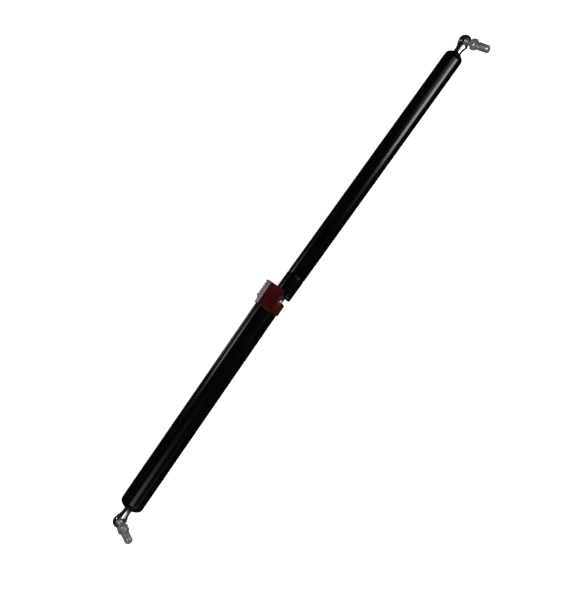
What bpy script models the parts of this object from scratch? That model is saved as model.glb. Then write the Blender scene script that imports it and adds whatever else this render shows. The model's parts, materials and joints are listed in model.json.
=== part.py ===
# Locking gas strut stay: pressure tube with gas-spring internals, piston rod, guard tube
# that hinges on the rod's end and latches the strut open, release clip, and a ball joint
# at each end. The strut lies along +X, its two ball studs lean towards -Y and +Z.
import math

import bmesh
import bpy
from mathutils import Matrix, Vector

MM = 0.001

# Overall layout, in millimetres along the strut from the lower ball's centre
BALL_TO_BALL = 680.0
FRAME_SHIFT = (-338.24, 2.25, 15.6)  # lower ball's centre in the model's frame

# Pressure tube
TUBE_R, TUBE_BORE_R = 11.0, 9.8
TUBE_MOUTH_X, TUBE_END_X = 318.1, 663.7
BEAD_X, BEAD_HALF, BEAD_DEPTH = 346.9, 1.1, 0.45

# Piston rod
ROD_R, NECK_R, END_THREAD_R = 5.0, 4.0, 3.0
ROD_SHOULDER_X, PISTON_SEAT_X, ROD_TOP_X = 26.0, 351.6, 367.6
THREAD_INSET = 7.4  # from a ball's centre to the end of the thread in its socket

# Guard tube
GUARD_R, GUARD_BORE_R = 14.0, 12.5
GUARD_FOOT_X, GUARD_MOUTH_X = 17.6, 312.2
FOOT_HOLE_R, GUARD_WALL = 4.5, 1.5
GUARD_PIVOT_X, GUARD_TILT_DEG = 19.0, 1.2

# Release clip, measured from the guard tube's own axis
CLIP_X0, CLIP_COLLAR_X, CLIP_X1 = 296.3, 311.4, 326.2
CLIP_HALF_Z, CLIP_BACK_Y, CLIP_FRONT_Y = 15.6, -6.2, 15.6
PAD_X0, PAD_Y, SHELF_Y, PAD_HALF_Z = 304.2, 18.6, 16.2, 11.5

# Ball joints
BALL_R, HEAD_R, CAVITY_R = 5.0, 7.6, 5.3
MOUTH_H, MOUTH_R = 3.0, 5.4
SHANK_R, SHANK_BORE_R = 4.7, 3.3
UPPER_SHANK, LOWER_SHANK = 15.9, 17.1
RING_H, RING_R, RING_WIRE_R = 1.6, 5.45, 0.45
STUD_NECK_R, HEX_NEAR, HEX_FAR, HEX_FLATS = 3.0, 9.4, 14.9, 13.0
STUD_THREAD_R, STUD_LENGTH = 5.0, 32.0
UPPER_OPENING, UPPER_STUD = (0.0, -0.864, 0.503), (0.158, -0.853, 0.497)
LOWER_OPENING, LOWER_STUD = (0.0, -0.734, 0.679), (-0.275, -0.706, 0.653)

ROUND_STEPS = 32
JOINT_STEPS = 28

for old in list(bpy.data.objects):
    bpy.data.objects.remove(old, do_unlink=True)

parts = bpy.data.collections.new("gas_strut_stay")
cutters = bpy.data.collections.new("gas_strut_stay_cutters")
bpy.context.scene.collection.children.link(parts)
bpy.context.scene.collection.children.link(cutters)


def material(name, colour, rough, metal):
    mat = bpy.data.materials.new(name)
    mat.use_nodes = True
    shader = mat.node_tree.nodes["Principled BSDF"]
    shader.inputs["Base Color"].default_value = (*colour, 1.0)
    shader.inputs["Roughness"].default_value = rough
    shader.inputs["Metallic"].default_value = metal
    return mat


black_paint = material("black_paint", (0.012, 0.012, 0.014), 0.22, 0.0)
chrome = material("hard_chrome", (0.75, 0.76, 0.78), 0.08, 1.0)
nickel = material("dark_nickel", (0.30, 0.28, 0.26), 0.18, 1.0)
zinc = material("zinc_plate", (0.46, 0.46, 0.43), 0.34, 1.0)
spring_steel = material("spring_steel", (0.38, 0.37, 0.35), 0.30, 1.0)
clip_plastic = material("clip_plastic", (0.030, 0.004, 0.004), 0.30, 0.0)
rubber = material("seal_rubber", (0.015, 0.015, 0.015), 0.60, 0.0)
nylon = material("guide_nylon", (0.55, 0.52, 0.45), 0.45, 0.0)
brass = material("sintered_bronze", (0.45, 0.30, 0.14), 0.40, 1.0)
aluminium = material("aluminium", (0.60, 0.60, 0.61), 0.32, 1.0)


def empty(name, at, parent=None, turn_z=0.0):
    item = bpy.data.objects.new(name, None)
    item.empty_display_size = 0.01
    item.location = Vector(at) * MM
    item.rotation_euler = (0.0, 0.0, math.radians(turn_z))
    item.parent = parent
    parts.objects.link(item)
    return item


def along(direction, side=(0.0, 0.0, 1.0)):
    # rotation that carries local +Z onto direction, and local +X as near side as it goes
    z = Vector(direction).normalized()
    x = (Vector(side) - z * z.dot(Vector(side))).normalized()
    y = z.cross(x)
    return Matrix((x, y, z)).transposed().to_euler()


AXIAL = along((1.0, 0.0, 0.0), (0.0, 1.0, 0.0))


def finish(item, mesh, parent, at, turn, mat, cutter):
    if mat:
        mesh.materials.append(mat)
    mesh.shade_smooth()
    mesh.set_sharp_from_angle(angle=math.radians(35.0))
    item.parent = parent
    item.location = Vector(at) * MM
    item.rotation_euler = turn
    if cutter:
        item.hide_render = True
        item.display_type = "WIRE"
        cutters.objects.link(item)
    else:
        parts.objects.link(item)
    return item


def turned(name, profile, parent, mat=None, at=(0, 0, 0), turn=AXIAL, cutter=False, steps=ROUND_STEPS):
    # profile: (height, radius) pairs in millimetres, down the outer side and back up inside
    flat = bmesh.new()
    ring = [flat.verts.new((r * MM, 0.0, h * MM)) for h, r in profile]
    for a, b in zip(ring, ring[1:]):
        flat.edges.new((a, b))
    if profile[0][1] > 0.0:
        flat.edges.new((ring[-1], ring[0]))
    mesh = bpy.data.meshes.new(name)
    flat.to_mesh(mesh)
    flat.free()
    item = bpy.data.objects.new(name, mesh)
    finish(item, mesh, parent, at, turn, mat, cutter)
    spin = item.modifiers.new("turn", "SCREW")
    spin.axis = "Z"
    spin.steps = spin.render_steps = steps
    spin.use_merge_vertices = True
    spin.merge_threshold = 0.00001
    spin.use_smooth_shade = True
    return item


def prism(name, outline, low, high, parent, mat=None, at=(0, 0, 0), turn=AXIAL, cutter=False):
    # a flat outline of (x, y) points in millimetres, thickened from low to high along local +Z
    curve = bpy.data.curves.new(name, "CURVE")
    curve.dimensions = "2D"
    curve.fill_mode = "BOTH"
    curve.extrude = (high - low) / 2 * MM
    line = curve.splines.new("POLY")
    line.points.add(len(outline) - 1)
    for point, (x, y) in zip(line.points, outline):
        point.co = (x * MM, y * MM, 0.0, 1.0)
    line.use_cyclic_u = True
    holder = bpy.data.objects.new(name + "_outline", curve)
    parts.objects.link(holder)
    bpy.context.view_layer.update()
    grown = holder.evaluated_get(bpy.context.evaluated_depsgraph_get())
    mesh = bpy.data.meshes.new_from_object(grown)
    bpy.data.objects.remove(holder, do_unlink=True)
    solid = bmesh.new()
    solid.from_mesh(mesh)
    bmesh.ops.remove_doubles(solid, verts=solid.verts, dist=0.00001)
    bmesh.ops.translate(solid, verts=solid.verts, vec=(0.0, 0.0, (low + high) / 2 * MM))
    bmesh.ops.recalc_face_normals(solid, faces=solid.faces)
    solid.to_mesh(mesh)
    solid.free()
    item = bpy.data.objects.new(name, mesh)
    return finish(item, mesh, parent, at, turn, mat, cutter)


def hexagon(name, flats, low, high, parent, mat=None, at=(0, 0, 0), turn=AXIAL, cutter=False):
    solid = bmesh.new()
    radius = flats / math.sqrt(3.0) * MM
    corners_on_x = Matrix.Translation((0.0, 0.0, (low + high) / 2 * MM)) @ Matrix.Rotation(math.pi / 6, 4, "Z")
    bmesh.ops.create_cone(
        solid, segments=6, radius1=radius, radius2=radius, depth=(high - low) * MM,
        cap_ends=True, matrix=corners_on_x,
    )
    mesh = bpy.data.meshes.new(name)
    solid.to_mesh(mesh)
    solid.free()
    item = bpy.data.objects.new(name, mesh)
    return finish(item, mesh, parent, at, turn, mat, cutter)


def combine(item, other, operation):
    step = item.modifiers.new(operation.lower(), "BOOLEAN")
    step.operation = operation
    step.solver = "EXACT"
    step.object = other


def arc(centre_h, centre_r, radius, start, end, count):
    # points of (height, radius) on an arc; angles in degrees from the outward direction
    angles = [math.radians(start + (end - start) * i / count) for i in range(count + 1)]
    return [(centre_h + radius * math.sin(a), centre_r + radius * math.cos(a)) for a in angles]


def sphere_line(radius, h_top, h_bottom, count):
    # points down the outer side of a sphere about the origin
    top, bottom = math.asin(h_top / radius), math.asin(h_bottom / radius)
    angles = [top + (bottom - top) * i / count for i in range(count + 1)]
    return [(radius * math.sin(a), max(radius * math.cos(a), 0.0)) for a in angles]


strut = empty("strut_axis", FRAME_SHIFT)
cylinder_body = empty("cylinder_body", (TUBE_MOUTH_X, 0, 0), strut)
rod_body = empty("rod_body", (0, 0, 0), strut)
guard_body = empty("guard_pivot", (GUARD_PIVOT_X, 0, 0), strut, GUARD_TILT_DEG)
upper_ball = empty("upper_ball_centre", (BALL_TO_BALL, 0, 0), strut)
lower_ball = empty("lower_ball_centre", (0, 0, 0), strut)


def from_mouth(pairs):
    return [(x - TUBE_MOUTH_X, r) for x, r in pairs]


# Pressure tube: rolled in over the guide at its mouth, drawn down over the plug at its end
inner_r, end_x = TUBE_BORE_R, TUBE_END_X
tube_outer = (
    [(end_x, 3.7), (end_x, 4.6), (end_x - 0.5, 5.7), (end_x - 3.0, 8.8), (end_x - 4.1, 9.9)]
    + [(end_x - 5.4, 10.6), (end_x - 7.1, TUBE_R)]
    + [(BEAD_X + BEAD_HALF, TUBE_R), (BEAD_X + 0.4, TUBE_R - BEAD_DEPTH)]
    + [(BEAD_X - 0.4, TUBE_R - BEAD_DEPTH), (BEAD_X - BEAD_HALF, TUBE_R)]
    + arc(TUBE_MOUTH_X + 1.5, TUBE_R - 1.5, 1.5, 0, -90, 4)
)
tube_inner = (
    [(TUBE_MOUTH_X, 6.0), (TUBE_MOUTH_X + 1.2, 6.0), (TUBE_MOUTH_X + 1.2, inner_r - 0.5)]
    + [(TUBE_MOUTH_X + 1.7, inner_r), (BEAD_X - BEAD_HALF - 0.3, inner_r)]
    + [(BEAD_X - 0.6, inner_r - BEAD_DEPTH), (BEAD_X + 0.6, inner_r - BEAD_DEPTH)]
    + [(BEAD_X + BEAD_HALF + 0.3, inner_r), (end_x - 7.5, inner_r), (end_x - 5.7, 9.4)]
    + [(end_x - 4.5, 8.5), (end_x - 2.2, 5.4), (end_x - 1.5, 3.7)]
)
turned("pressure_tube", from_mouth(tube_outer + tube_inner), cylinder_body, black_paint)

# End plug with the upper end's threaded stud, and its seal
plug_top = BALL_TO_BALL - THREAD_INSET
plug = (
    [(plug_top, 0.0), (plug_top, END_THREAD_R - 0.6), (plug_top - 0.6, END_THREAD_R)]
    + [(end_x - 2.4, END_THREAD_R), (end_x - 2.4, 4.4), (end_x - 4.7, 7.9), (end_x - 5.9, 8.9)]
    + [(end_x - 7.3, 9.4)]
    + [(653.4, 9.4), (653.4, 7.7), (650.6, 7.7), (650.6, 9.4), (648.6, 9.4), (648.0, 8.8)]
    + [(648.0, 0.0)]
)
turned("end_plug", from_mouth(plug), cylinder_body, aluminium)
o_ring = arc(652.0, 8.85, 0.8, 90, -270, 10)[:-1]
turned("end_plug_o_ring", from_mouth(o_ring), cylinder_body, rubber)

# Rod guide package behind the rolled mouth
slip = 0.3
guide = [
    (332.4, ROD_R + slip + 0.4), (332.4, 9.0), (331.9, 9.5), (328.4, 9.5), (328.4, 7.7),
    (325.6, 7.7), (325.6, 9.5), (321.2, 9.5), (320.4, 8.6), (320.4, ROD_R + slip + 0.4),
    (320.8, ROD_R + slip), (332.0, ROD_R + slip),
]
turned("rod_guide", from_mouth(guide), cylinder_body, aluminium)
o_ring = arc(327.0, 8.85, 0.8, 90, -270, 10)[:-1]
turned("guide_o_ring", from_mouth(o_ring), cylinder_body, rubber)
seal = [
    (338.2, 6.6), (338.2, 8.2), (337.6, 8.2), (336.4, 7.4), (335.6, 9.5), (332.8, 9.5),
    (332.8, 6.2), (334.6, ROD_R + slip), (336.2, ROD_R + slip + 0.7), (337.4, ROD_R + slip),
]
turned("rod_seal", from_mouth(seal), cylinder_body, rubber)
washer = [(340.0, 5.6), (340.0, 9.5), (338.6, 9.5), (338.6, 5.6)]
turned("seal_washer", from_mouth(washer), cylinder_body, zinc)
spacer = [(345.2, 5.8), (345.2, 8.9), (344.6, 9.5), (340.4, 9.5), (340.4, 5.8)]
turned("guide_spacer", from_mouth(spacer), cylinder_body, nylon)

# Piston rod: threaded lower end, neck for the guard's foot, seat for the piston
rod = [
    (ROD_TOP_X, 0.0), (ROD_TOP_X, 2.5), (ROD_TOP_X - 0.5, 3.0), (PISTON_SEAT_X, 3.0),
    (PISTON_SEAT_X, 4.6), (PISTON_SEAT_X - 0.4, ROD_R), (ROD_SHOULDER_X + 0.5, ROD_R),
    (ROD_SHOULDER_X, ROD_R - 0.5), (ROD_SHOULDER_X, NECK_R), (17.7, NECK_R),
    (17.7, END_THREAD_R), (THREAD_INSET + 0.6, END_THREAD_R), (THREAD_INSET, END_THREAD_R - 0.6),
    (THREAD_INSET, 0.0),
]
turned("piston_rod", rod, rod_body, chrome)

# Piston with its ring, washer and nut
piston = [
    (362.0, 3.3), (362.0, 9.0), (361.6, 9.4), (358.8, 9.4), (358.8, 7.9), (355.2, 7.9),
    (355.2, 9.4), (352.4, 9.4), (352.0, 9.0), (352.0, 3.3),
]
piston_item = turned("piston", piston, rod_body, brass)
for turn_deg in (90.0, 210.0, 330.0):
    lead = math.radians(turn_deg)
    port = turned(
        f"piston_port_{int(turn_deg)}", [(364.0, 0.0), (364.0, 0.9), (350.0, 0.9), (350.0, 0.0)],
        rod_body, at=(0, 5.6 * math.cos(lead), 5.6 * math.sin(lead)), cutter=True, steps=12,
    )
    combine(piston_item, port, "DIFFERENCE")
ring = [(358.4, 8.3), (358.4, 9.55), (355.6, 9.55), (355.6, 8.3)]
turned("piston_ring", ring, rod_body, nylon)
washer = [(363.7, 3.3), (363.7, 7.2), (362.3, 7.2), (362.3, 3.3)]
turned("piston_washer", washer, rod_body, zinc)
nut = hexagon("piston_nut", 8.6, 364.0, 367.4, rod_body, zinc)
nut_hole = turned(
    "piston_nut_hole", [(369.0, 0.0), (369.0, 3.3), (362.0, 3.3), (362.0, 0.0)],
    rod_body, cutter=True, steps=32,
)
combine(nut, nut_hole, "DIFFERENCE")


def from_pivot(pairs):
    return [(x - GUARD_PIVOT_X, r) for x, r in pairs]


# Guard tube: open mouth, domed foot with a hole round the rod's neck
foot_dome = [(0.0, 5.4), (0.7, 7.2), (1.7, 9.4), (2.8, 11.1), (3.9, 12.3), (5.4, 13.3), (6.8, 13.85), (8.4, GUARD_R)]
foot_inside = [
    (1.5, 5.2), (2.1, 6.8), (2.9, 8.5), (3.9, 10.1), (4.9, 11.1), (6.2, 11.9), (7.2, 12.3), (8.6, GUARD_BORE_R),
]
guard = (
    [(GUARD_MOUTH_X, GUARD_BORE_R + 0.3), (GUARD_MOUTH_X, GUARD_R - 0.3)]
    + [(GUARD_MOUTH_X - 0.3, GUARD_R)]
    + [(GUARD_FOOT_X + along_x, r) for along_x, r in foot_dome[::-1]]
    + [(GUARD_FOOT_X, FOOT_HOLE_R), (GUARD_FOOT_X + GUARD_WALL, FOOT_HOLE_R)]
    + [(GUARD_FOOT_X + along_x, r) for along_x, r in foot_inside]
    + [(GUARD_MOUTH_X - 0.3, GUARD_BORE_R)]
)
turned("guard_tube", from_pivot(guard), guard_body, black_paint)

# Bush on the rod's neck that carries the foot, and the washer under the rod's shoulder
bush = [
    (24.3, 4.3), (24.3, 10.8), (23.2, 10.6), (22.1, 9.8), (21.1, 8.4), (20.3, 6.8), (19.8, 5.4), (19.8, 4.3),
]
turned("guard_foot_bush", bush, rod_body, nylon)
washer = [(25.7, 4.3), (25.7, 9.2), (24.6, 9.2), (24.6, 4.3)]
turned("foot_washer", washer, rod_body, zinc)

# Tilt spring: a bent strip that pushes the guard tube askew
path = [(26.9, 9.6), (26.9, 6.6), (27.3, 6.1), (31.0, 6.0), (44.0, 11.7), (45.2, 11.8), (46.2, 11.0)]
thick = 0.5
upper_edge, lower_edge = [], []
for i, (x, y) in enumerate(path):
    before, after = path[max(i - 1, 0)], path[min(i + 1, len(path) - 1)]
    run = Vector((after[0] - before[0], after[1] - before[1])).normalized()
    upper_edge.append((x - run.y * thick / 2, y + run.x * thick / 2))
    lower_edge.append((x + run.y * thick / 2, y - run.x * thick / 2))
prism("tilt_spring", lower_edge + upper_edge[::-1], -3.5, 3.5, rod_body, spring_steel, turn=(0, 0, 0))

# Release clip: flat-sided saddle, round collar on its back, raised thumb pad in front
corner = 5.0
saddle = [(CLIP_BACK_Y, -CLIP_HALF_Z), (CLIP_FRONT_Y - corner, -CLIP_HALF_Z)]
for i in range(1, 7):
    a = math.radians(-90.0 + 15.0 * i)
    saddle.append((CLIP_FRONT_Y - corner + corner * math.cos(a), -CLIP_HALF_Z + corner + corner * math.sin(a)))
saddle += [(y, -z) for y, z in saddle[::-1]]
clip = prism("release_clip", saddle, CLIP_X0 - GUARD_PIVOT_X, CLIP_X1 - GUARD_PIVOT_X, guard_body, clip_plastic)
collar = [
    (CLIP_COLLAR_X, 13.0), (CLIP_COLLAR_X, 15.2), (CLIP_COLLAR_X - 0.4, 15.6),
    (CLIP_X0 + 1.0, 15.6), (CLIP_X0 + 0.4, 15.2), (CLIP_X0 + 0.4, 13.0),
]
combine(clip, turned("clip_collar", from_pivot(collar), guard_body, cutter=True), "UNION")
pad = [
    (CLIP_X0 + 0.6, 12.0), (CLIP_X1 - 0.4, 12.0), (CLIP_X1 - 0.4, PAD_Y - 1.2),
    (CLIP_X1 - 1.6, PAD_Y), (PAD_X0 + 0.4, PAD_Y), (PAD_X0 - 0.6, PAD_Y - 0.5),
    (PAD_X0 - 2.0, SHELF_Y), (CLIP_X0 + 0.6, SHELF_Y - 0.8),
]
pad = [(x - GUARD_PIVOT_X, y) for x, y in pad]
combine(
    clip,
    prism("clip_pad", pad, -PAD_HALF_Z, PAD_HALF_Z, guard_body, turn=(0, 0, 0), cutter=True),
    "UNION",
)
bore = [(GUARD_MOUTH_X + 0.3, 0.0), (GUARD_MOUTH_X + 0.3, 14.3), (290.0, 14.3), (290.0, 0.0)]
combine(clip, turned("clip_bore", from_pivot(bore), guard_body, cutter=True), "DIFFERENCE")
slot = [(-20.0, -12.6), (0.0, -12.6)]
for i in range(1, 24):
    a = math.radians(-90.0 + 7.5 * i)
    slot.append((12.6 * math.cos(a), 12.6 * math.sin(a)))
slot += [(0.0, 12.6), (-20.0, 12.6)]
combine(
    clip,
    prism("clip_slot", slot, GUARD_MOUTH_X + 0.1 - GUARD_PIVOT_X, 320.0, guard_body, cutter=True),
    "DIFFERENCE",
)


def ball_joint(prefix, centre, opening, stud_direction, shank_side, shank_length):
    # socket with its threaded shank on the strut's axis, snap ring in its mouth, ball stud
    face = along(opening, (1.0, 0.0, 0.0))
    lean = along(stud_direction, (1.0, 0.0, 0.0))
    shank = along((shank_side, 0.0, 0.0), (0.0, 1.0, 0.0))

    head = sphere_line(HEAD_R, MOUTH_H, -HEAD_R, 9)
    head = [(MOUTH_H, 0.0)] + head[:-1] + [(-HEAD_R, 0.0)]
    socket = turned(f"{prefix}_socket", head, centre, nickel, turn=face, steps=JOINT_STEPS)
    stem = [
        (shank_length, 0.0), (shank_length, SHANK_R - 0.4), (shank_length - 0.4, SHANK_R),
        (12.4, SHANK_R), (9.9, 5.1), (7.6, 5.9), (5.2, 6.8), (3.0, 6.9), (3.0, 0.0),
    ]
    combine(socket, turned(f"{prefix}_stem", stem, centre, turn=shank, cutter=True, steps=JOINT_STEPS), "UNION")
    hollow = [(MOUTH_H + 6.0, 0.0), (MOUTH_H + 6.0, MOUTH_R + 2.8), (MOUTH_H, MOUTH_R + 0.4)]
    hollow += [(MOUTH_H - 0.5, MOUTH_R), (RING_H + 0.65, MOUTH_R), (RING_H + 0.65, 6.2)]
    hollow += [(RING_H - 0.75, 6.2), (RING_H - 0.75, 5.25)]
    hollow += sphere_line(CAVITY_R, 0.3, -CAVITY_R, 6)[:-1] + [(-CAVITY_R, 0.0)]
    combine(socket, turned(f"{prefix}_hollow", hollow, centre, turn=face, cutter=True, steps=JOINT_STEPS), "DIFFERENCE")
    bore = [
        (shank_length + 2.0, 0.0), (shank_length + 2.0, SHANK_BORE_R + 0.3),
        (shank_length - 0.3, SHANK_BORE_R + 0.3), (shank_length - 0.6, SHANK_BORE_R),
        (7.1, SHANK_BORE_R), (7.1, 0.0),
    ]
    combine(socket, turned(f"{prefix}_bore", bore, centre, turn=shank, cutter=True, steps=32), "DIFFERENCE")

    wire = bpy.data.curves.new(f"{prefix}_ring_line", "CURVE")
    wire.dimensions = "3D"
    wire.bevel_depth = RING_WIRE_R * MM
    wire.bevel_resolution = 1
    wire.use_fill_caps = True
    count = 28
    line = wire.splines.new("POLY")
    line.points.add(count - 1)
    for i, point in enumerate(line.points):
        a = math.radians(12.0 + 336.0 * i / (count - 1))
        point.co = (RING_R * math.cos(a) * MM, RING_R * math.sin(a) * MM, RING_H * MM, 1.0)
    snap = bpy.data.objects.new(f"{prefix}_snap_ring", wire)
    snap.parent = centre
    snap.rotation_euler = face
    wire.materials.append(spring_steel)
    parts.objects.link(snap)

    bar = [(STUD_LENGTH, 0.0), (STUD_LENGTH, STUD_THREAD_R - 0.8), (STUD_LENGTH - 0.8, STUD_THREAD_R)]
    bar += [(HEX_NEAR + 2.0, STUD_THREAD_R), (HEX_NEAR + 2.0, STUD_NECK_R + 0.6)]
    bar += [(HEX_NEAR, STUD_NECK_R + 0.6), (HEX_NEAR - 1.0, STUD_NECK_R)]
    neck_height = math.sqrt(BALL_R**2 - STUD_NECK_R**2)
    bar += sphere_line(BALL_R, neck_height, -BALL_R, 9)[:-1] + [(-BALL_R, 0.0)]
    stud = turned(f"{prefix}_ball_stud", bar, centre, zinc, turn=lean, steps=JOINT_STEPS)
    nut = hexagon(f"{prefix}_stud_hex", HEX_FLATS, HEX_NEAR, HEX_FAR, centre, turn=lean, cutter=True)
    combine(stud, nut, "UNION")


ball_joint("upper", upper_ball, UPPER_OPENING, UPPER_STUD, -1.0, UPPER_SHANK)
ball_joint("lower", lower_ball, LOWER_OPENING, LOWER_STUD, 1.0, LOWER_SHANK)
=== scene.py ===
import json
import math
import bmesh
import bpy
from mathutils import Matrix, Vector


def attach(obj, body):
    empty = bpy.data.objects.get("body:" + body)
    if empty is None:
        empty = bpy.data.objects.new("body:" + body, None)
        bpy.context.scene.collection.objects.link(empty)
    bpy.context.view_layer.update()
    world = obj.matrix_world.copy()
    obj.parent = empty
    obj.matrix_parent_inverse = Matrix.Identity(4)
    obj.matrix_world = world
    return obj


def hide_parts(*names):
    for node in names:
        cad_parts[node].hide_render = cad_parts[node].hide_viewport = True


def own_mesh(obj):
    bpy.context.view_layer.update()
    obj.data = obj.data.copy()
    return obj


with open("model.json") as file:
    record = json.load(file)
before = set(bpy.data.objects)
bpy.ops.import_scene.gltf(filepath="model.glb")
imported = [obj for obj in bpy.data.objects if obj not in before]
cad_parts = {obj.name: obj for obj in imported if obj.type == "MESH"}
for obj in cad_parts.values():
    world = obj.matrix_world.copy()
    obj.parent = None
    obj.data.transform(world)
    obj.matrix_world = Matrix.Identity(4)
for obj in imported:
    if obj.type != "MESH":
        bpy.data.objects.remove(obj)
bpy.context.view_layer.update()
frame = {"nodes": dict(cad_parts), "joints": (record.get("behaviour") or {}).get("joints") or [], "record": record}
mm = 0.001

# where the strut lies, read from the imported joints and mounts
joints = {j["name"]: j for j in frame["joints"]}
mounts = {m["name"]: m for m in frame["record"]["mounts"]}
lowerBall = Vector(joints["lower_stud_swivel"]["pos_m"])
upperBall = Vector(joints["upper_stud_swivel"]["pos_m"])
guardPivot = Vector(joints["guard_release"]["pos_m"])
guardTilt = math.radians(joints["guard_release"]["range_deg"][1])
strutAxis = (upperBall - lowerBall).normalized()
ballSpan = (upperBall - lowerBall).length / mm


def placeAlong(origin, direction, side):
    # local Z runs along direction, local X as near side as it goes
    z = Vector(direction).normalized()
    x = (Vector(side) - z * z.dot(Vector(side))).normalized()
    turn = Matrix((x, z.cross(x), z)).transposed().to_4x4()
    return Matrix.Translation(origin) @ turn


strutPlace = placeAlong(lowerBall, strutAxis, (0, 1, 0))
tiltAboutPivot = (
    Matrix.Translation(guardPivot) @ Matrix.Rotation(guardTilt, 4, "Z") @ Matrix.Translation(-guardPivot)
)
guardPlace = tiltAboutPivot @ strutPlace
print("frame read, balls", round(ballSpan, 2), "mm apart")


def softProfile(points, closed=False, steps=4):
    # (height, radius, easing) corners; easing is how far the rounding reaches along each side
    out, count = [], len(points)
    for i, corner in enumerate(points):
        here = Vector(corner[:2])
        reach = corner[2] if len(corner) > 2 else 0.0
        ends = not closed and i in (0, count - 1)
        if reach <= 0.0 or ends:
            out.append(tuple(here))
            continue
        before, after = Vector(points[i - 1][:2]), Vector(points[(i + 1) % count][:2])
        a = here + (before - here).normalized() * reach
        b = here + (after - here).normalized() * reach
        for k in range(steps + 1):
            t = k / steps
            out.append(tuple(a * (1 - t) ** 2 + here * 2 * t * (1 - t) + b * t * t))
    return out


def sphereRows(radius, top, bottom, count):
    a, b = math.asin(max(-1, min(1, top / radius))), math.asin(max(-1, min(1, bottom / radius)))
    turns = [a + (b - a) * i / count for i in range(count + 1)]
    return [(radius * math.sin(t), radius * math.cos(t)) for t in turns]


def meshFrom(name, shape, sharpDeg=32.0):
    bmesh.ops.recalc_face_normals(shape, faces=shape.faces)
    mesh = bpy.data.meshes.new(name)
    shape.to_mesh(mesh)
    shape.free()
    mesh.shade_smooth()
    mesh.set_sharp_from_angle(angle=math.radians(sharpDeg))
    item = bpy.data.objects.new(name, mesh)
    bpy.context.scene.collection.objects.link(item)
    return item


def turnedPiece(name, rows, place, columns=96, closed=False, sharpDeg=32.0):
    # stacks rings of (height, radius) down the outer side; a radius may be a function of angle and height
    shape = bmesh.new()
    angles = [2 * math.pi * j / columns for j in range(columns)]
    rings = []
    for h, r in rows:
        if not callable(r) and r < 1e-6:
            rings.append([shape.verts.new(place @ Vector((0, 0, h * mm)))])
            continue
        ring = []
        for a in angles:
            size = (r(a, h) if callable(r) else r) * mm
            ring.append(shape.verts.new(place @ Vector((size * math.cos(a), size * math.sin(a), h * mm))))
        rings.append(ring)
    if closed:
        rings.append(rings[0])
    for upper, lower in zip(rings, rings[1:]):
        for j in range(columns):
            k = (j + 1) % columns
            if len(upper) == 1:
                shape.faces.new((upper[0], lower[j], lower[k]))
            elif len(lower) == 1:
                shape.faces.new((upper[j], lower[0], upper[k]))
            else:
                shape.faces.new((upper[j], lower[j], lower[k], upper[k]))
    return meshFrom(name, shape, sharpDeg)


def threadRows(top, bottom, major, pitch, tipRadius, rootRadius, perTurn=10, runOut=1.6):
    # a single right-hand V thread with a chamfered tip and a fading run-out
    depth = 0.6134 * pitch

    def radius(angle, h):
        phase = (h / pitch - angle / (2 * math.pi)) % 1.0
        away = abs(phase - 0.5) * 2
        cut = min(max((away - 0.14) / 0.62, 0.0), 1.0)
        size = major - depth * cut
        fade = min(max((h - bottom) / (runOut * pitch), 0.0), 1.0)
        size = rootRadius + (size - rootRadius) * fade
        return min(size, tipRadius + (top - h) * 1.1)

    count = int((top - bottom) / pitch * perTurn)
    return [(top + (bottom - top) * i / count, radius) for i in range(count + 1)]


def hexRows(far, near, flats, faceShare=0.94):
    # hexagon with a corner on local X and a turned blank's round chamfers, from its far face to its near one
    def radius(angle, h):
        side = angle % (math.pi / 3) - math.pi / 6
        toCorner = abs(side)
        flat = flats / 2 / math.cos(toCorner)
        edge = min(far - h, h - near)
        return min(flat, flats / 2 * faceShare + 0.02 + edge * 1.732)

    near1 = [0.0, 0.08, 0.16, 0.24, 0.34, 0.44, 0.54, 0.64, 0.76, 0.9]
    heights = [far - d for d in near1] + [(far + near) / 2] + [near + d for d in near1[::-1]]
    return [(h, radius) for h in heights]


def evaluated(item, name):
    # the item with its modifiers applied, as a plain mesh of its own
    bpy.context.view_layer.update()
    done = bpy.data.meshes.new_from_object(item.evaluated_get(bpy.context.evaluated_depsgraph_get()))
    done.name = name
    fresh = bpy.data.objects.new(name, done)
    bpy.context.scene.collection.objects.link(fresh)
    bpy.data.objects.remove(item, do_unlink=True)
    return fresh


def carve(item, steps, name, sharpDeg=32.0):
    # steps are (operation, other) pairs, worked in order; the others are used up
    for operation, other in steps:
        cut = item.modifiers.new(operation.lower(), "BOOLEAN")
        cut.operation, cut.solver, cut.object = operation, "EXACT", other
    done = evaluated(item, name)
    for _, other in steps:
        bpy.data.objects.remove(other, do_unlink=True)
    done.data.shade_smooth()
    done.data.set_sharp_from_angle(angle=math.radians(sharpDeg))
    return done


def slab(name, outline, low, high, place, across="axial", rounding=0.0):
    # outline in millimetres: "axial" takes (y, z) points and runs along the strut,
    # "deep" takes (axial, y) points and runs across it
    shape = bmesh.new()
    lower, upper = [], []
    for a, b in outline:
        for level, row in ((low, lower), (high, upper)):
            local = (a, b, level) if across == "axial" else (b, level, a)
            row.append(shape.verts.new(place @ (Vector(local) * mm)))
    count = len(outline)
    shape.faces.new(lower)
    shape.faces.new(upper[::-1])
    for i in range(count):
        k = (i + 1) % count
        shape.faces.new((lower[i], upper[i], upper[k], lower[k]))
    item = meshFrom(name, shape)
    if rounding:
        soft = item.modifiers.new("rounding", "BEVEL")
        soft.width, soft.segments = rounding * mm, 4
        soft.limit_method, soft.angle_limit = "ANGLE", math.radians(28)
        item = evaluated(item, name)
    return item


# finishes, each a small node tree
def startFinish(name):
    mat = bpy.data.materials.new(name)
    mat.use_nodes = True
    tree = mat.node_tree
    where = tree.nodes.new("ShaderNodeTexCoord").outputs["Object"]
    return mat, tree, tree.nodes["Principled BSDF"], where


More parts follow.
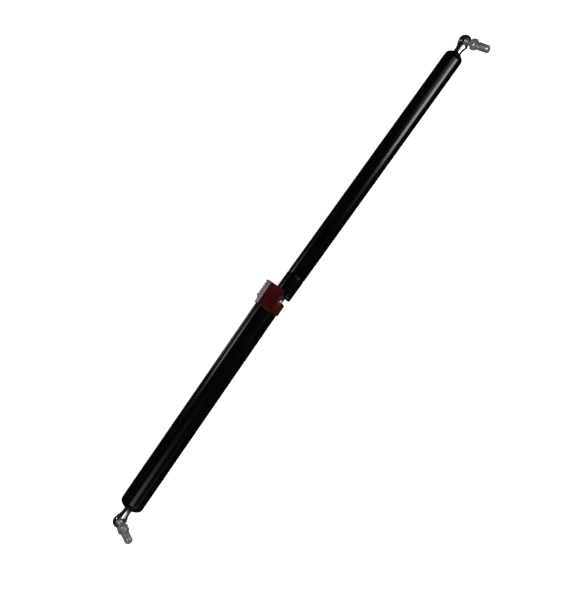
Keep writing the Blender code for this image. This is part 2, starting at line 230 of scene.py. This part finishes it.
def speckle(tree, where, scale, stretch=(1, 1, 1), detail=3.0, rough=0.55):
    spread = tree.nodes.new("ShaderNodeMapping")
    spread.inputs["Scale"].default_value = stretch
    tree.links.new(where, spread.inputs["Vector"])
    noise = tree.nodes.new("ShaderNodeTexNoise")
    noise.inputs["Scale"].default_value = scale
    noise.inputs["Detail"].default_value = detail
    noise.inputs["Roughness"].default_value = rough
    tree.links.new(spread.outputs["Vector"], noise.inputs["Vector"])
    return noise.outputs["Fac"]


def between(tree, factor, low, high, inLow=0.3, inHigh=0.7):
    step = tree.nodes.new("ShaderNodeMapRange")
    for key, value in (("From Min", inLow), ("From Max", inHigh), ("To Min", low), ("To Max", high)):
        step.inputs[key].default_value = value
    tree.links.new(factor, step.inputs["Value"])
    return step.outputs["Result"]


def twoTone(tree, factor, first, second, inLow=0.35, inHigh=0.65):
    ramp = tree.nodes.new("ShaderNodeValToRGB")
    ramp.color_ramp.elements[0].position = inLow
    ramp.color_ramp.elements[1].position = inHigh
    ramp.color_ramp.elements[0].color = (*first, 1)
    ramp.color_ramp.elements[1].color = (*second, 1)
    tree.links.new(factor, ramp.inputs["Fac"])
    return ramp.outputs["Color"]


def relief(tree, shader, height, strength, depth):
    bump = tree.nodes.new("ShaderNodeBump")
    bump.inputs["Strength"].default_value = strength
    bump.inputs["Distance"].default_value = depth
    tree.links.new(height, bump.inputs["Height"])
    tree.links.new(bump.outputs["Normal"], shader.inputs["Normal"])


def glossPaint(name, dark, light, roughLow, roughHigh):
    mat, tree, shader, where = startFinish(name)
    cloud = speckle(tree, where, 60.0, (0.3, 1, 1))
    tree.links.new(twoTone(tree, cloud, dark, light), shader.inputs["Base Color"])
    wipe = speckle(tree, where, 260.0, (0.06, 1, 1), 5.0, 0.65)
    tree.links.new(between(tree, wipe, roughLow, roughHigh), shader.inputs["Roughness"])
    relief(tree, shader, speckle(tree, where, 520.0, (1, 1, 1), 2.0), 0.22, 0.00003)
    return mat


def platedMetal(name, first, second, roughLow, roughHigh, grain=900.0, stretch=(1, 1, 1), metallic=1.0):
    mat, tree, shader, where = startFinish(name)
    shader.inputs["Metallic"].default_value = metallic
    tone = speckle(tree, where, grain * 0.16)
    tree.links.new(twoTone(tree, tone, first, second), shader.inputs["Base Color"])
    lines = speckle(tree, where, grain, stretch, 4.0, 0.6)
    tree.links.new(between(tree, lines, roughLow, roughHigh), shader.inputs["Roughness"])
    relief(tree, shader, lines, 0.25, 0.000015)
    return mat


def mouldedPlastic(name, first, second, roughLow, roughHigh, grain=1400.0, bumpDepth=0.00002):
    mat, tree, shader, where = startFinish(name)
    swirl = speckle(tree, where, 130.0, (0.4, 1, 1), 4.0)
    tree.links.new(twoTone(tree, swirl, first, second), shader.inputs["Base Color"])
    patches = speckle(tree, where, 340.0)
    tree.links.new(between(tree, patches, roughLow, roughHigh), shader.inputs["Roughness"])
    relief(tree, shader, speckle(tree, where, grain, detail=2.0), 0.2, bumpDepth)
    return mat


finishes = {
    "black_paint": glossPaint("tubePaint", (0.0005, 0.0005, 0.0006), (0.0011, 0.0011, 0.0013), 0.13, 0.20),
    "guard_paint": glossPaint("guardPaint", (0.0006, 0.0005, 0.0005), (0.0013, 0.0010, 0.0010), 0.15, 0.22),
    "hard_chrome": platedMetal(
        "rodChrome", (0.72, 0.73, 0.75), (0.80, 0.81, 0.83), 0.05, 0.11, 1600.0, (3.0, 0.4, 0.4)
    ),
    "dark_nickel": platedMetal("socketNickel", (0.60, 0.55, 0.53), (0.76, 0.72, 0.70), 0.08, 0.18, 700.0),
    "stud_zinc": platedMetal(
        "studZinc", (0.42, 0.41, 0.38), (0.66, 0.65, 0.63), 0.18, 0.34, 1100.0, metallic=0.84
    ),
    "zinc_plate": platedMetal("washerZinc", (0.48, 0.48, 0.44), (0.62, 0.62, 0.60), 0.25, 0.42, 1100.0),
    "spring_steel": platedMetal("springSteel", (0.34, 0.33, 0.31), (0.46, 0.45, 0.43), 0.18, 0.34, 1500.0),
    "aluminium": platedMetal(
        "turnedAluminium", (0.56, 0.57, 0.58), (0.68, 0.68, 0.69), 0.20, 0.36, 1800.0, (4.0, 0.2, 0.2)
    ),
    "sintered_bronze": platedMetal(
        "sinteredBronze", (0.30, 0.17, 0.07), (0.50, 0.31, 0.14), 0.34, 0.55, 2600.0
    ),
    "clip_plastic": mouldedPlastic("clipRed", (0.022, 0.0008, 0.0002), (0.034, 0.0017, 0.0005), 0.13, 0.24),
    "seal_rubber": mouldedPlastic(
        "sealRubber", (0.010, 0.010, 0.010), (0.020, 0.020, 0.020), 0.50, 0.70, 2200.0
    ),
    "guide_nylon": mouldedPlastic("guideNylon", (0.46, 0.43, 0.35), (0.58, 0.55, 0.47), 0.35, 0.50),
}
print("finishes made", len(finishes))


def settle(item, body, node, slotName):
    item.data.materials.clear()
    item.data.materials.append(finishes[slotName])
    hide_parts(node)
    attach(item, body)
    return item


# pressure tube, with its rolled mouth, retaining bead and drawn-down end
tube = {
    "outer": 11.0, "bore": 9.8, "mouth": 318.1, "end": 663.7,
    "bead": 346.9, "beadHalf": 1.0, "beadDepth": 0.45, "columns": 128,
}
outer, bore, mouth, end, bead = (tube[k] for k in ("outer", "bore", "mouth", "end", "bead"))
tubeCorners = [
    (end, 3.7, 0.15), (end, 4.6, 0.35), (end - 0.5, 5.7, 0.4), (end - 3.0, 8.8, 0.6), (end - 4.1, 9.9, 0.6),
    (end - 5.4, 10.6, 0.6), (end - 7.1, outer, 0.8),
    (bead + tube["beadHalf"], outer, 0.5), (bead + 0.25, outer - tube["beadDepth"], 0.25),
    (bead - 0.25, outer - tube["beadDepth"], 0.25), (bead - tube["beadHalf"], outer, 0.5),
    (mouth + 2.4, outer, 0.6), (mouth + 0.35, outer - 0.5, 0.6), (mouth, outer - 2.0, 0.5),
    (mouth, 6.2, 0.25),
    (mouth + 1.2, 6.2, 0.2), (mouth + 1.4, bore - 0.6, 0.3), (mouth + 2.0, bore, 0.3),
    (bead - 1.4, bore), (bead - 0.6, bore - 0.45), (bead + 0.6, bore - 0.45), (bead + 1.4, bore),
    (end - 7.5, bore, 0.5), (end - 5.7, 9.4, 0.4), (end - 4.5, 8.5, 0.4), (end - 2.2, 5.4, 0.4),
    (end - 1.5, 3.7),
]
pressureTube = turnedPiece("pressureTube", softProfile(tubeCorners, True), strutPlace, tube["columns"], True)
settle(pressureTube, "cylinder", "pressure_tube", "black_paint")

# piston rod, ground and chromed, with its threaded lower end
rod = {
    "radius": 5.0, "neck": 4.0, "seat": 351.6, "seatRadius": 2.95, "top": 367.6, "shoulder": 26.0,
    "neckEnd": 17.75, "thread": 3.0, "threadStart": 17.4, "threadRings": 100, "tip": 7.4, "tipRadius": 2.2,
}
rodCorners = [
    (rod["top"], 0.0), (rod["top"], 2.9, 0.4), (rod["seat"], rod["seatRadius"], 0.2),
    (rod["seat"], rod["radius"], 0.4), (rod["shoulder"], rod["radius"], 0.5),
    (rod["shoulder"], rod["neck"], 0.2), (rod["neckEnd"], rod["neck"], 0.3),
    (rod["neckEnd"], rod["thread"] - 0.35, 0.1),
]
rodRows = softProfile(rodCorners)


def endThreadRadius(angle, h):
    # a 1 mm pitch thread with a chamfered end, down from the neck to the tip
    phase = (h + angle / (2 * math.pi)) % 1.0
    cut = min(max((abs(phase - 0.5) * 2 - 0.14) / 0.62, 0.0), 1.0)
    size = rod["thread"] - 0.6134 * cut
    return min(size, rod["tipRadius"] + (h - rod["tip"]) * 1.1)


threadStart, rings = rod["threadStart"], rod["threadRings"]
rodRows += [(threadStart + (rod["tip"] - threadStart) * i / rings, endThreadRadius) for i in range(rings + 1)]
rodRows += [(rod["tip"], 0.0)]
pistonRod = turnedPiece("pistonRod", rodRows, strutPlace, 64)
settle(pistonRod, "rod", "piston_rod", "hard_chrome")

# guard tube, spun down at its foot round the rod's neck
guard = {"outer": 14.0, "bore": 12.5, "foot": 17.6, "mouth": 312.2, "hole": 4.5, "columns": 128}
gOuter, gBore, foot = guard["outer"], guard["bore"], guard["foot"]
guardCorners = [
    (guard["mouth"], gBore + 0.2, 0.15), (guard["mouth"], gOuter, 0.4), (foot + 8.4, gOuter, 1.0),
    (foot + 6.8, 13.85, 0.7), (foot + 5.4, 13.3, 0.7), (foot + 3.9, 12.3, 0.7), (foot + 2.8, 11.1, 0.7),
    (foot + 1.7, 9.4, 0.8), (foot + 0.7, 7.2, 0.8), (foot, 5.4, 0.6), (foot, guard["hole"], 0.15),
    (foot + 1.5, guard["hole"], 0.15), (foot + 1.5, 5.2, 0.3), (foot + 2.1, 6.8, 0.5), (foot + 2.9, 8.5, 0.5),
    (foot + 3.9, 10.1, 0.5), (foot + 4.9, 11.1, 0.5), (foot + 6.2, 11.9, 0.5), (foot + 8.6, gBore, 0.8),
    (guard["mouth"] - 0.6, gBore, 0.2),
]
guardTube = turnedPiece("guardTube", softProfile(guardCorners, True), guardPlace, guard["columns"], True)
settle(guardTube, "guard", "guard_tube", "guard_paint")
print("tubes and rod turned")

# release clip: saddle with flat sides, round collar behind, ribbed thumb pad in front
clip = {
    "start": 296.3, "collarEnd": 311.4, "end": 326.2, "half": 15.6, "back": -6.2, "front": 15.9,
    "chamferFrom": 11.7, "chamferFall": 0.82, "padStart": 304.2, "padTop": 18.6, "shelf": 16.3,
    "edge": 0.8, "ribs": 5, "ribStep": 3.5, "ribRadius": 1.5, "voxel": 0.30,
    "slotHalf": 12.6, "slotDepth": 22.0,
}


def chamferAt(y):
    # half width of the saddle and pad where their side slopes away in front
    return clip["half"] - (y - clip["chamferFrom"]) * clip["chamferFall"]


saddle = [
    (clip["back"], -clip["half"]), (clip["chamferFrom"], -clip["half"]),
    (clip["front"], -chamferAt(clip["front"])),
]
saddle += [(y, -z) for y, z in saddle[::-1]]
clipBody = slab("clipBody", saddle, clip["start"], clip["end"], guardPlace, rounding=clip["edge"])
collarStart = clip["start"] + 0.5
collarCorners = [
    (clip["collarEnd"], 13.6), (clip["collarEnd"], 15.4, 0.9), (collarStart, 15.4, 0.9), (collarStart, 13.6),
]
collar = turnedPiece("collar", softProfile(collarCorners, True), guardPlace, 128, True)
padHalf = chamferAt(12.0)
padBack, padFront = clip["start"] + 0.7, clip["end"] - 0.3
padOutline = [
    (padBack, 12.0), (padFront, 12.0), (padFront, clip["padTop"]), (clip["padStart"] + 1.2, clip["padTop"]),
    (clip["padStart"] - 1.8, clip["shelf"]), (padBack, clip["shelf"] - 0.9),
]
pad = slab("pad", padOutline, -padHalf, padHalf, guardPlace, "deep", 0.7)
steps = [("UNION", collar), ("UNION", pad)]
for side in (-1, 1):
    wedge = [(y, side * chamferAt(y)) for y in (11.0, 22.0)] + [(22.0, side * 22.0), (11.0, side * 22.0)]
    steps.append(("DIFFERENCE", slab(f"wedge{side}", wedge, clip["start"] - 2, clip["end"] + 2, guardPlace)))
boreEnd, boreRadius, boreStart = guard["mouth"] + 0.3, guard["outer"] + 0.2, 290.0
boreRows = [(boreEnd, 0.0), (boreEnd, boreRadius), (boreStart, boreRadius), (boreStart, 0.0)]
steps.append(("DIFFERENCE", turnedPiece("clipBore", boreRows, guardPlace, 128)))
slotHalf, slotDepth = clip["slotHalf"], clip["slotDepth"]
slot = [(-slotDepth, -slotHalf), (0.0, -slotHalf)]
for i in range(1, 36):
    a = math.radians(-90 + 5 * i)
    slot.append((slotHalf * math.cos(a), slotHalf * math.sin(a)))
slot += [(0.0, slotHalf), (-slotDepth, slotHalf)]
steps.append(("DIFFERENCE", slab("clipSlot", slot, guard["mouth"] + 0.1, 332.0, guardPlace)))
for i in range(clip["ribs"]):
    at, ribRadius = clip["padStart"] + 4.0 + clip["ribStep"] * i, clip["ribRadius"]
    turns = [math.radians(t) for t in range(0, 360, 20)]
    groove = [(at + ribRadius * math.cos(t), clip["padTop"] + 0.3 + ribRadius * math.sin(t)) for t in turns]
    steps.append(("DIFFERENCE", slab(f"groove{i}", groove, -padHalf - 2, padHalf + 2, guardPlace, "deep")))
clipBody = carve(clipBody, steps, "clipCut")
melt = clipBody.modifiers.new("melt", "REMESH")
melt.mode, melt.voxel_size, melt.use_smooth_shade = "VOXEL", clip["voxel"] * mm, True
ease = clipBody.modifiers.new("ease", "SMOOTH")
ease.factor, ease.iterations = 0.5, 5
thin = clipBody.modifiers.new("thin", "DECIMATE")
thin.ratio = 0.4
releaseClip = evaluated(clipBody, "releaseClip")
releaseClip.data.shade_smooth()
settle(releaseClip, "guard", "release_clip", "clip_plastic")
print("release clip moulded,", len(releaseClip.data.polygons), "faces")

# ball joints at both ends
ball = {
    "radius": 5.0, "head": 7.8, "cavity": 5.3, "mouthHeight": 3.0, "mouth": 5.4,
    "ringHeight": 1.6, "ringRadius": 5.45, "grooveRadius": 6.15, "wire": 0.45,
    "shank": 4.7, "shankEnds": {"upper": 15.9, "lower": 17.1}, "shankBore": 3.3, "boreEnd": 7.1,
    "shoulderFrom": 2.4, "shoulderTo": 12.6, "shoulderSpread": 2.5,
}
stud = {
    "neck": 3.0, "hexNear": 9.4, "hexFar": 14.9, "flats": 13.0, "major": 5.0, "pitch": 1.5, "tip": 32.0,
}


def makeSocket(name, centre, opening, shankWay, shankEnd):
    face = placeAlong(centre, opening, (1, 0, 0))
    stem = placeAlong(centre, Vector((shankWay, 0, 0)), (0, 1, 0))
    top = ball["mouthHeight"]
    rim = math.sqrt(ball["head"] ** 2 - top**2)
    dome = sphereRows(ball["head"], top - 0.8, 0.01 - ball["head"], 40)
    headRows = [(top, 0.0)] + softProfile([(top, 4.0), (top, rim, 0.35)] + dome) + [(-ball["head"], 0.0)]
    head = turnedPiece(name + "Head", headRows, face, 96)
    low, high = ball["shoulderFrom"], ball["shoulderTo"]

    def shoulder(angle, h):
        # a straight bar seen from above, spreading sideways as it runs into the head
        rise = min(max((high - h) / (high - low), 0.0), 1.0)
        return ball["shank"] + ball["shoulderSpread"] * rise * rise * (3 - 2 * rise) * math.cos(angle) ** 4

    barCorners = [(shankEnd, 3.6), (shankEnd, ball["shank"], 0.45), (high, ball["shank"])]
    stemRows = [(shankEnd, 0.0)] + softProfile(barCorners)
    stemRows += [(high + (low - high) * i / 16, shoulder) for i in range(1, 17)] + [(low, 0.0)]
    shank = turnedPiece(name + "Shank", stemRows, stem, 96)
    mouth, groove = ball["mouth"], ball["grooveRadius"]
    grooveTop, grooveFloor = ball["ringHeight"] + 0.65, ball["ringHeight"] - 0.75
    hollowRows = [
        (top + 6.0, 0.0), (top + 6.0, mouth + 2.8), (top, mouth + 0.4), (top - 0.45, mouth),
        (grooveTop, mouth), (grooveTop, groove), (grooveFloor, groove), (grooveFloor, 5.28),
    ] + sphereRows(ball["cavity"], 0.3, -5.29, 24) + [(-ball["cavity"], 0.0)]
    hollow = turnedPiece(name + "Hollow", hollowRows, face, 96)
    hole, clear = ball["shankBore"], 20.0
    boreRows = [
        (clear, 0.0), (clear, hole + 0.5), (shankEnd, hole + 0.5),
        (shankEnd - 0.6, hole), (ball["boreEnd"], hole), (ball["boreEnd"] - 0.9, 0.0),
    ]
    drill = turnedPiece(name + "Drill", boreRows, stem, 64)
    return carve(head, [("UNION", shank), ("DIFFERENCE", hollow), ("DIFFERENCE", drill)], name)


def makeSnapRing(name, centre, opening):
    face = placeAlong(centre, opening, (1, 0, 0))
    wire = bpy.data.curves.new(name, "CURVE")
    wire.dimensions, wire.use_fill_caps = "3D", True
    wire.bevel_depth, wire.bevel_resolution = ball["wire"] * mm, 4
    count, size = 90, ball["ringRadius"]
    line = wire.splines.new("POLY")
    line.points.add(count - 1)
    for i, point in enumerate(line.points):
        a = math.radians(12 + 336 * i / (count - 1))
        at = face @ (Vector((size * math.cos(a), size * math.sin(a), ball["ringHeight"])) * mm)
        point.co = (*at, 1.0)
    holder = bpy.data.objects.new(name + "Line", wire)
    bpy.context.scene.collection.objects.link(holder)
    ring = evaluated(holder, name)
    shape = bmesh.new()
    shape.from_mesh(ring.data)
    bmesh.ops.remove_doubles(shape, verts=shape.verts, dist=1e-6)
    shape.to_mesh(ring.data)
    shape.free()
    ring.data.shade_smooth()
    ring.data.set_sharp_from_angle(angle=math.radians(40))
    return ring


def makeStud(name, centre, direction):
    place = placeAlong(centre, direction, (1, 0, 0))
    near, far, neck = stud["hexNear"], stud["hexFar"], stud["neck"]
    root = stud["major"] - 0.85
    rows = [(stud["tip"], 0.0)]
    rows += threadRows(stud["tip"], far + 0.9, stud["major"] - 0.02, stud["pitch"], root - 0.3, root)
    rows += [(far + 0.45, root), (far + 0.1, root + 0.15), (far, root + 0.4), (far, 6.0)]
    rows += hexRows(far, near, stud["flats"])
    rows += [(near, 4.1), (near - 0.15, 3.7), (near - 0.6, 3.25), (near - 1.2, neck)]
    neckHeight = math.sqrt(ball["radius"] ** 2 - neck**2)
    rows += [(neckHeight + 0.5, neck), (neckHeight + 0.12, neck + 0.03)]
    rows += sphereRows(ball["radius"], neckHeight - 0.1, -4.995, 40) + [(-ball["radius"], 0.0)]
    return turnedPiece(name, rows, place, 96, sharpDeg=28)


for which, centre, body, shankWay in (("upper", upperBall, "cylinder", -1), ("lower", lowerBall, "rod", 1)):
    opening = joints[which + "_stud_swivel"]["axis"]
    leaning = mounts[which + "_bracket_seat"]["axis"]
    socket = makeSocket(which + "Socket", centre, opening, shankWay, ball["shankEnds"][which])
    settle(socket, body, which + "_socket", "dark_nickel")
    snapRing = makeSnapRing(which + "SnapRing", centre, opening)
    settle(snapRing, which + "_ring", which + "_snap_ring", "spring_steel")
    ballStud = makeStud(which + "BallStud", centre, leaning)
    settle(ballStud, which + "_stud", which + "_ball_stud", "stud_zinc")
print("ball joints made")

# tilt spring: a bent leaf with eased edges, kept in its bent shape (the real leaf flattens as the guard tube is
# pressed straight)
leaf = {"rootHeight": 6.0, "edge": 0.12, "keep": 0.88}
springStrip = bpy.data.objects.new("springStrip", frame["nodes"]["tilt_spring"].data.copy())
bpy.context.scene.collection.objects.link(springStrip)
easedEdges = springStrip.modifiers.new("easedEdges", "BEVEL")
easedEdges.width, easedEdges.segments = leaf["edge"] * mm, 2
easedEdges.limit_method, easedEdges.angle_limit = "ANGLE", math.radians(40)
tiltSpring = evaluated(springStrip, "tiltSpring")
tiltSpring.data.shade_smooth()
tiltSpring.data.set_sharp_from_angle(angle=math.radians(28))
settle(tiltSpring, "rod", "tilt_spring", "spring_steel")
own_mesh(tiltSpring)
print("tilt spring bent")

# the parts inside keep their CAD shapes and take a finish each
inside = {
    "end_plug": "aluminium", "rod_guide": "aluminium",
    "end_plug_o_ring": "seal_rubber", "guide_o_ring": "seal_rubber", "rod_seal": "seal_rubber",
    "seal_washer": "zinc_plate", "guide_spacer": "guide_nylon", "piston": "sintered_bronze",
    "piston_ring": "guide_nylon", "piston_washer": "zinc_plate", "piston_nut": "zinc_plate",
    "guard_foot_bush": "guide_nylon", "foot_washer": "zinc_plate",
}
for node, finish in inside.items():
    part = frame["nodes"][node]
    part.data.materials.clear()
    part.data.materials.append(finishes[finish])
print("inner parts finished", len(inside))

# floor, world, lights and camera
studio = {"sky": 0.95, "reflectedSky": 0.012, "floorGlow": 0.55}
bpy.ops.mesh.primitive_plane_add(size=8.0, location=(0, 0, -0.0005))
floor = bpy.context.object
floor.name = "paleFloor"
floor.visible_glossy = floor.visible_shadow = False
floorMat, floorTree, floorShader, floorWhere = startFinish("paleFloor")
floorTone = speckle(floorTree, floorWhere, 3.0)
floorColour = twoTone(floorTree, floorTone, (0.90, 0.90, 0.90), (0.92, 0.92, 0.92))
floorTree.links.new(floorColour, floorShader.inputs["Base Color"])
floorShader.inputs["Roughness"].default_value = 0.9
floorShader.inputs["Emission Color"].default_value = (1, 1, 1, 1)
floorShader.inputs["Emission Strength"].default_value = studio["floorGlow"]
floor.data.materials.append(floorMat)

world = bpy.data.worlds.new("studio")
bpy.context.scene.world = world
world.use_nodes = True
sky = world.node_tree
sky.nodes.clear()
pale, dim = sky.nodes.new("ShaderNodeBackground"), sky.nodes.new("ShaderNodeBackground")
pale.inputs["Color"].default_value = (1, 1, 1, 1)
pale.inputs["Strength"].default_value = studio["sky"]
dim.inputs["Color"].default_value = (1, 1, 1, 1)
dim.inputs["Strength"].default_value = studio["reflectedSky"]
blendSky, skyOut = sky.nodes.new("ShaderNodeMixShader"), sky.nodes.new("ShaderNodeOutputWorld")
rayKind = sky.nodes.new("ShaderNodeLightPath")
sky.links.new(rayKind.outputs["Is Glossy Ray"], blendSky.inputs["Fac"])
sky.links.new(pale.outputs["Background"], blendSky.inputs[1])
sky.links.new(dim.outputs["Background"], blendSky.inputs[2])
sky.links.new(blendSky.outputs["Shader"], skyOut.inputs["Surface"])

# softboxes round the strut: along is where each sits over the strut's length, lean is its angle
# from straight overhead towards the ball studs' side, wide its angle across, bright its radiance
softboxes = {
    "lowerOverhead": {"along": (-0.80, -0.435), "lean": 1.0, "wide": 30.0, "bright": 1.55},
    "lowerFade": {"along": (-0.435, -0.36), "lean": 1.0, "wide": 30.0, "bright": 0.40},
    "lowerTail": {"along": (-0.36, -0.25), "lean": 0.0, "wide": 28.0, "bright": 0.10},
    "lowerSide": {"along": (-0.60, -0.30), "lean": 58.0, "wide": 12.0, "bright": 0.26},
    "upperKey": {"along": (0.285, 0.56), "lean": 45.0, "wide": 30.0, "bright": 7.0},
    "upperFade": {"along": (0.37, 0.62), "lean": 18.0, "wide": 16.0, "bright": 1.3},
    "upperTail": {"along": (0.40, 0.62), "lean": -1.0, "wide": 20.0, "bright": 0.45},
    "clipSide": {"along": (-0.16, -0.09), "lean": -78.0, "wide": 14.0, "bright": 3.2},
    "clipSideNear": {"along": (-0.09, -0.06), "lean": -78.0, "wide": 14.0, "bright": 7.0},
    "clipPadStart": {"along": (-0.058, -0.036), "lean": -78.0, "wide": 14.0, "bright": 3.2},
    "clipPadEnd": {"along": (-0.034, -0.006), "lean": -78.0, "wide": 14.0, "bright": 2.2},
    "clipUnder": {"along": (-0.16, -0.03), "lean": -128.0, "wide": 26.0, "bright": 0.5},
    "clipSideFade": {"along": (-0.03, 0.02), "lean": -92.0, "wide": 30.0, "bright": 0.12},
    "lowerStudFill": {"along": (-0.42, -0.345), "lean": 25.0, "wide": 70.0, "bright": 0.55, "reach": 0.15},
    "notchGlow": {"along": (-0.0255, -0.0185), "lean": 58.0, "wide": 50.0, "bright": 1.2, "reach": 0.07},
}


def hangSoftbox(name, spec):
    light = bpy.data.lights.new(name, "AREA")
    reach = spec.get("reach", 1.0)
    light.shape = "RECTANGLE"
    lean = math.radians(spec["lean"])
    low, high = spec["along"]
    light.size = high - low
    light.size_y = 2 * reach * math.tan(math.radians(spec["wide"]) / 2)
    light.energy = spec["bright"] * math.pi * light.size * light.size_y
    lamp = bpy.data.objects.new(name, light)
    out = Vector((0, -math.sin(lean), math.cos(lean)))
    middle = Vector(((low + high) / 2, lowerBall.y, lowerBall.z)) + out * reach
    lamp.matrix_world = placeAlong(middle, out, (1, 0, 0))
    bpy.context.scene.collection.objects.link(lamp)


for name, spec in softboxes.items():
    hangSoftbox(name, spec)

view = {"turnDeg": 54.24, "right": -3.27, "up": -21.3, "distance": 1915.0, "lens": 100.0}
turn = math.radians(view["turnDeg"])
rightWay = Vector((math.cos(turn), -math.sin(turn), 0))
upWay = Vector((math.sin(turn), math.cos(turn), 0))
aim = (lowerBall + upperBall) / 2 + (rightWay * view["right"] + upWay * view["up"]) * mm
cameraData = bpy.data.cameras.new("overhead")
cameraData.lens, cameraData.sensor_width = view["lens"], 36.0
cameraData.clip_end = 50.0
camera = bpy.data.objects.new("overhead", cameraData)
camera.location = aim + Vector((0, 0, view["distance"] * mm))
camera.rotation_euler = (0, 0, -turn)
bpy.context.scene.collection.objects.link(camera)
bpy.context.scene.camera = camera
bpy.context.scene.view_settings.view_transform = "Standard"
print("studio set, softboxes", len(softboxes))
